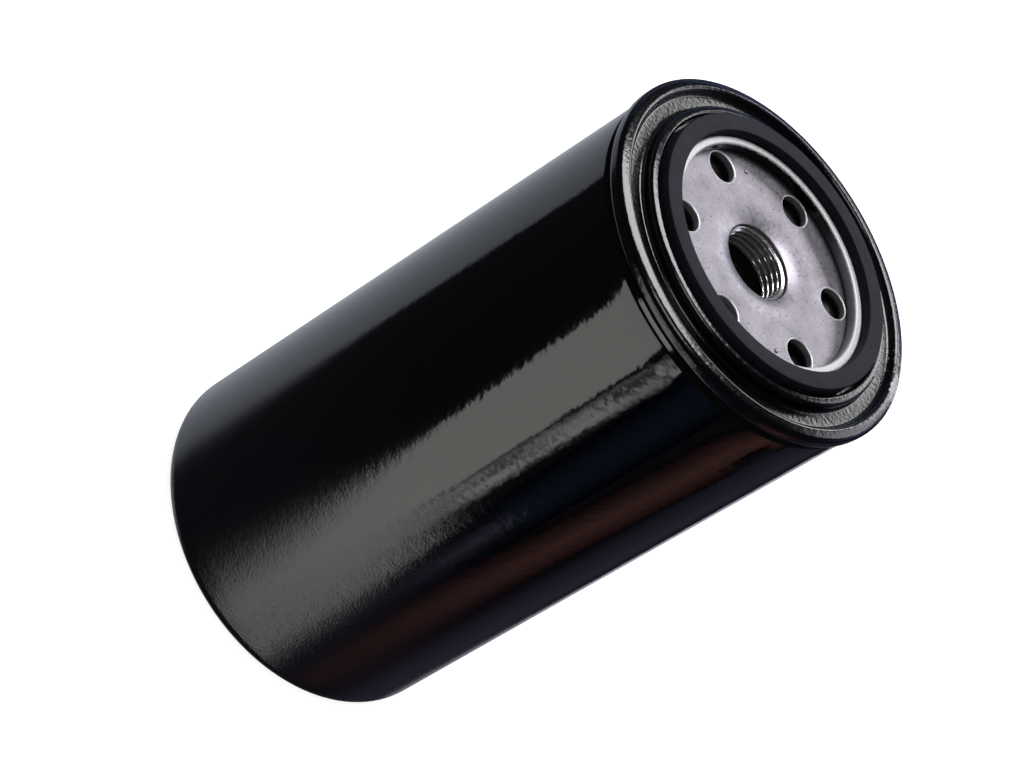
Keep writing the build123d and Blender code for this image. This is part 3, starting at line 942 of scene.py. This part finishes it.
def make_plate():
    """Tapped plate: funnel, threaded hub, six punched inlets and two pips."""
    vertices, faces = turned_mesh(plate_section(), short=(thread_radius, thread_step))
    mouth_z = funnel_face()[-1][1] - mouth_drop
    threaded = []
    for x, y, z in vertices:
        radius = math.hypot(x, y)
        if abs(radius - thread_radius) < 10 * same_spot:
            share = 1 - thread_relief(z, math.atan2(y, x), mouth_z) / radius
            x, y = x * share, y * share
        threaded.append((x, y, z))
    plate = raw("tapped_plate", threaded, faces)
    inlets = [inlet_cutter(2 * math.pi * k / inlet_count) for k in range(inlet_count)]
    combine(plate, inlets, "DIFFERENCE")
    combine(plate, [pip(pip_angle), pip(pip_angle + math.pi)], "UNION")
    dress(plate, plate_steel, "housing", "base_plate", sharp=28)


def new_growth(name, sizes):
    """Geometry tree with named sizes and its input node; the result is set by its caller."""
    tree = bpy.data.node_groups.new(name, "GeometryNodeTree")
    tree.interface.new_socket("Geometry", in_out="OUTPUT", socket_type="NodeSocketGeometry")
    for size, kind in sizes.items():
        tree.interface.new_socket(size, in_out="INPUT", socket_type=kind)
    return tree, add(tree, "NodeGroupInput").outputs


def grown(name, tree, values):
    """Piece that a geometry tree makes from named values, as a plain mesh."""
    piece = bpy.data.objects.new(name, bpy.data.meshes.new(name))
    bpy.context.scene.collection.objects.link(piece)
    step = piece.modifiers.new("grow", "NODES")
    step.node_group = tree
    for socket in tree.interface.items_tree:
        if socket.in_out == "INPUT":
            step[socket.identifier] = values[socket.name]
    settle(piece)
    piece.data.name = name
    outward(piece)
    return piece


def coil_tree():
    """Round wire wound along an upright spiral, capped at both ends."""
    tree, size = new_growth("coil_spring", {
        "Coil radius": "NodeSocketFloat",
        "Wire radius": "NodeSocketFloat",
        "Turns": "NodeSocketFloat",
        "Rise": "NodeSocketFloat",
        "First height": "NodeSocketFloat",
        "Finish": "NodeSocketMaterial",
    })
    spiral = add(tree, "GeometryNodeCurveSpiral", {
        "Resolution": 48,
        "Rotations": size["Turns"],
        "Start Radius": size["Coil radius"],
        "End Radius": size["Coil radius"],
        "Height": size["Rise"],
    })
    wire = add(
        tree, "GeometryNodeCurvePrimitiveCircle",
        {"Resolution": 20, "Radius": size["Wire radius"]},
    )
    wound = add(
        tree, "GeometryNodeCurveToMesh",
        {"Curve": spiral, "Profile Curve": wire, "Fill Caps": True},
    )
    lift = add(tree, "ShaderNodeCombineXYZ", {"Z": size["First height"]})
    lifted = add(tree, "GeometryNodeTransform", {"Geometry": wound, "Translation": lift})
    real = add(tree, "GeometryNodeRealizeInstances", {"Geometry": lifted})
    dressed = add(tree, "GeometryNodeSetMaterial", {"Geometry": real, "Material": size["Finish"]})
    add(tree, "NodeGroupOutput", {"Geometry": dressed})
    return tree


def pleat_tree():
    """Upright zigzag wall of folds with round bends, given the thickness of its paper."""
    tree, size = new_growth("pleated_wall", {
        "Pleats": "NodeSocketInt",
        "Inner radius": "NodeSocketFloat",
        "Outer radius": "NodeSocketFloat",
        "Bend radius": "NodeSocketFloat",
        "Paper": "NodeSocketFloat",
        "Height": "NodeSocketFloat",
        "First height": "NodeSocketFloat",
        "Finish": "NodeSocketMaterial",
    })
    zigzag = add(tree, "GeometryNodeCurveStar", {
        "Points": size["Pleats"],
        "Inner Radius": size["Inner radius"],
        "Outer Radius": size["Outer radius"],
        "Twist": 0.0,
    })
    bent = add(
        tree, "GeometryNodeFilletCurve",
        {"Curve": zigzag, "Count": 3, "Radius": size["Bend radius"], "Limit Radius": True},
        mode="POLY",
    )
    line = add(tree, "GeometryNodeCurveToMesh", {"Curve": bent})
    rise = add(tree, "ShaderNodeCombineXYZ", {"Z": size["Height"]})
    wall = add(
        tree, "GeometryNodeExtrudeMesh", {"Mesh": line, "Offset": rise, "Offset Scale": 1.0},
        mode="EDGES",
    )
    thick = add(
        tree, "GeometryNodeExtrudeMesh",
        {"Mesh": wall, "Offset Scale": size["Paper"], "Individual": False}, mode="FACES",
    )
    back = add(tree, "GeometryNodeFlipFaces", {"Mesh": wall})
    both = add(tree, "GeometryNodeJoinGeometry")
    for part in (back, thick):
        tree.links.new(part.outputs[0], both.inputs[0])
    closed = add(
        tree, "GeometryNodeMergeByDistance", {"Geometry": both, "Distance": 10 * same_spot},
    )
    lift = add(tree, "ShaderNodeCombineXYZ", {"Z": size["First height"]})
    lifted = add(tree, "GeometryNodeTransform", {"Geometry": closed, "Translation": lift})
    real = add(tree, "GeometryNodeRealizeInstances", {"Geometry": lifted})
    dressed = add(tree, "GeometryNodeSetMaterial", {"Geometry": real, "Material": size["Finish"]})
    add(tree, "NodeGroupOutput", {"Geometry": dressed})
    return tree


def make_springs():
    """The two coil springs, each wound to fill the box of its CAD part."""
    tree = coil_tree()
    springs = (
        ("support_spring", "element_support_spring", "housing", "element", 3.5, 1.0 * mm),
        ("relief_spring", "bypass_valve_spring", "bypass_valve", "element", 4.0, 0.55 * mm),
    )
    for name, node, lower_body, upper_body, turns, wire in springs:
        low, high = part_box(node)
        first = low.z + wire
        piece = grown(name, tree, {
            "Coil radius": high.x - wire,
            "Wire radius": wire,
            "Turns": turns,
            "Rise": high.z - wire - first,
            "First height": first,
            "Finish": spring_wire,
        })
        piece.data.shade_smooth()
        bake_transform(piece)
        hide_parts(node)


def sharp_folds(inner, outer):
    """Radii of the sharp zigzag whose rounded folds end at the inner and the outer radius."""
    half_pleat = math.pi / pleat_count
    low, high = inner, outer
    for _ in range(60):
        outer_fold = math.atan2(low * math.sin(half_pleat), high - low * math.cos(half_pleat))
        inner_fold = math.atan2(high * math.sin(half_pleat), high * math.cos(half_pleat) - low)
        low = inner - pleat_bend * (1 / math.sin(inner_fold) - 1)
        high = outer + pleat_bend * (1 / math.sin(outer_fold) - 1)
    return low, high


def make_pleats():
    """Pleated paper between the two potted caps."""
    low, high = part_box("pleated_media")
    tube_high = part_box("centre_tube")[1]
    # The paper's thickness is laid outwards, and the corners of the folds take up a little of it.
    outer_fold = high.x + 0.1 * mm - paper_thickness
    inner, outer = sharp_folds(tube_high.x + tube_gap, outer_fold)
    pleats = grown("paper_pleats", pleat_tree(), {
        "Pleats": pleat_count,
        "Inner radius": inner,
        "Outer radius": outer,
        "Bend radius": pleat_bend,
        "Paper": -paper_thickness,
        "Height": high.z - low.z,
        "First height": low.z,
        "Finish": paper,
    })
    dress(pleats, paper, "element", "pleated_media", sharp=50)


make_can()
make_lid()
make_gasket()
make_plate()
make_springs()
make_pleats()


# --- Studio ----------------------------------------------------------------------------------
def make_camera():
    """Camera above the open end, looking down the can and rolled to lay it across the view."""
    camera = bpy.data.objects.new("camera", bpy.data.cameras.new("camera"))
    bpy.context.scene.collection.objects.link(camera)
    camera.data.sensor_width = 36
    camera.data.lens = 136.6
    camera.data.clip_start = 10 * mm
    right = to_part @ Vector((0.51494, -0.52286, 0.67931))
    up = to_part @ Vector((0.31015, 0.85240, 0.42099))
    back = right.cross(up)
    place = to_part @ Vector((-756.7 * mm, 0, 486.5 * mm))
    place.z += crest_z
    turn = Matrix((right, up, back)).transposed().to_4x4()
    camera.matrix_world = Matrix.Translation(place) @ turn
    bpy.context.scene.camera = camera


def make_light(name, towards, distance, size, power):
    """Soft rectangular white light that faces the filter."""
    light = bpy.data.lights.new(name, "AREA")
    light.shape = "RECTANGLE"
    light.size, light.size_y = size
    light.energy = power
    lamp = bpy.data.objects.new(name, light)
    bpy.context.scene.collection.objects.link(lamp)
    lamp.location = Vector((0, 0, 100 * mm)) + towards * distance
    lamp.rotation_euler = (-towards).to_track_quat("-Z", "Y").to_euler()
    lamp.visible_camera = False


def make_floor():
    """Plain pale floor, lit evenly so that it stays pale to its edges."""
    mesh = bpy.data.meshes.new("floor")
    half = 6.0
    corners = [(-half, -half, 0), (half, -half, 0), (half, half, 0), (-half, half, 0)]
    mesh.from_pydata(corners, [], [(0, 1, 2, 3)])
    floor = bpy.data.objects.new("floor", mesh)
    bpy.context.scene.collection.objects.link(floor)
    material, tree, _ = new_material("pale_floor")
    finish(tree, {
        "Base Color": linear("#c8c8c8"),
        "Roughness": 0.9,
        "Emission Color": linear("#ffffff"),
        "Emission Strength": 0.92,
    })
    mesh.materials.append(material)
    floor.visible_glossy = False


def make_card(name, colour, brightness, soft, rows, broken=0.0):
    """Lit card round the filter that only shows as a reflection in the enamel.
    Each row is a height in millimetres and the azimuths of the card's two edges there. The card
    fades over the soft share of its width at each edge, and broken dims it in patches."""
    distance, pieces = 1.0, 32
    vertices, faces, glow = [], [], []
    for height, first, last in rows:
        for step in range(pieces + 1):
            share = step / pieces
            spot = direction(first + (last - first) * share, 0) * distance
            vertices.append((spot.x, spot.y, height * mm))
            glow.append(min(1, share / soft, (1 - share) / soft))
    for row in range(len(rows) - 1):
        for step in range(pieces):
            k = row * (pieces + 1) + step
            faces.append((k, k + 1, k + pieces + 2, k + pieces + 1))
    mesh = bpy.data.meshes.new(name)
    mesh.from_pydata(vertices, [], faces)
    card = bpy.data.objects.new(name, mesh)
    bpy.context.scene.collection.objects.link(card)
    material, tree, place = new_material(name)
    mesh.attributes.new("glow", "FLOAT", "POINT").data.foreach_set("value", glow)
    fade = add(tree, "ShaderNodeAttribute", attribute_name="glow").outputs["Fac"]
    squeezed = add(tree, "ShaderNodeVectorMath", {0: place, 1: (9, 9, 60)}, operation="MULTIPLY")
    patches = add(tree, "ShaderNodeTexNoise", {"Vector": squeezed, "Scale": 1.0, "Detail": 2.0})
    dimmed = add(
        tree, "ShaderNodeMapRange",
        {"Value": patches, "From Min": 0.42, "From Max": 0.56,
         "To Min": 1 - broken, "To Max": 1.0},
    )
    fade = add(tree, "ShaderNodeMath", {0: fade, 1: dimmed}, operation="MULTIPLY")
    strength = add(tree, "ShaderNodeMath", {0: fade, 1: brightness}, operation="MULTIPLY")
    light = add(tree, "ShaderNodeEmission", {"Color": linear(colour), "Strength": strength})
    add(tree, "ShaderNodeOutputMaterial", {"Surface": light})
    mesh.materials.append(material)
    card.visible_camera = False
    card.visible_shadow = False
    card.visible_diffuse = False


def make_world():
    """Faint even light from all round."""
    world = bpy.data.worlds.new("studio")
    world.use_nodes = True
    background = world.node_tree.nodes["Background"]
    background.inputs["Color"].default_value = (1, 1, 1, 1)
    background.inputs["Strength"].default_value = 0.035
    bpy.context.scene.world = world


make_camera()
make_floor()
make_world()
make_light("overhead", direction(34, 63), 0.9, (0.6, 0.48), 9.0)
make_light("behind", direction(-5, 29), 1.0, (0.42, 0.24), 1.5)
make_light("fill", direction(180, 55), 0.9, (0.4, 0.4), 1.6)
make_light("edge", direction(-18, 4), 0.95, (0.16, 0.12), 0.4)
make_card("paper_side", "#dfe6f3", 0.7, 0.02, [
    (-2800, -25, 112), (-1400, -25, 92), (-1250, -25, 84), (-280, -25, 84),
])
make_card("low_side", "#f4f2fa", 2.6, 0.2, [(560, -42, -16), (1000, -42, -16)])
make_card("far_side", "#8796c8", 0.8, 0.2, [(240, -70, 70), (520, -70, 70)])
make_card("back_side", "#d8dce8", 0.4, 0.3, [(-400, 22, 74), (-60, 22, 74)])
make_card("window", "#fffcf6", 2.4, 0.02, [
    (-1050, 190, 244), (-860, 179, 234), (-720, 168, 225), (-690, 166, 200), (-520, 156, 196),
    (-380, 148, 191),
])
make_card("window_edge", "#ffffff", 2.8, 0.25, [
    (-700, 198, 214), (-380, 197, 213),
], broken=0.95)
make_card("navy_side", "#8fb4d8", 0.16, 0.4, [
    (-1100, 246, 266), (-700, 222, 250), (-380, 208, 246),
])
make_card("lilac_side", "#cfc6e8", 0.6, 0.5, [(-950, 238, 252), (-640, 226, 242)])
make_card("brown_side", "#e8a498", 0.4, 0.5, [
    (-900, 240, 266), (-520, 256, 294), (-380, 262, 300),
])
make_card("dim_side", "#c9c4ec", 0.1, 0.3, [
    (-1200, 275, 336), (-380, 285, 336), (-60, 285, 336),
])
bpy.context.scene.view_settings.view_transform = "Standard"
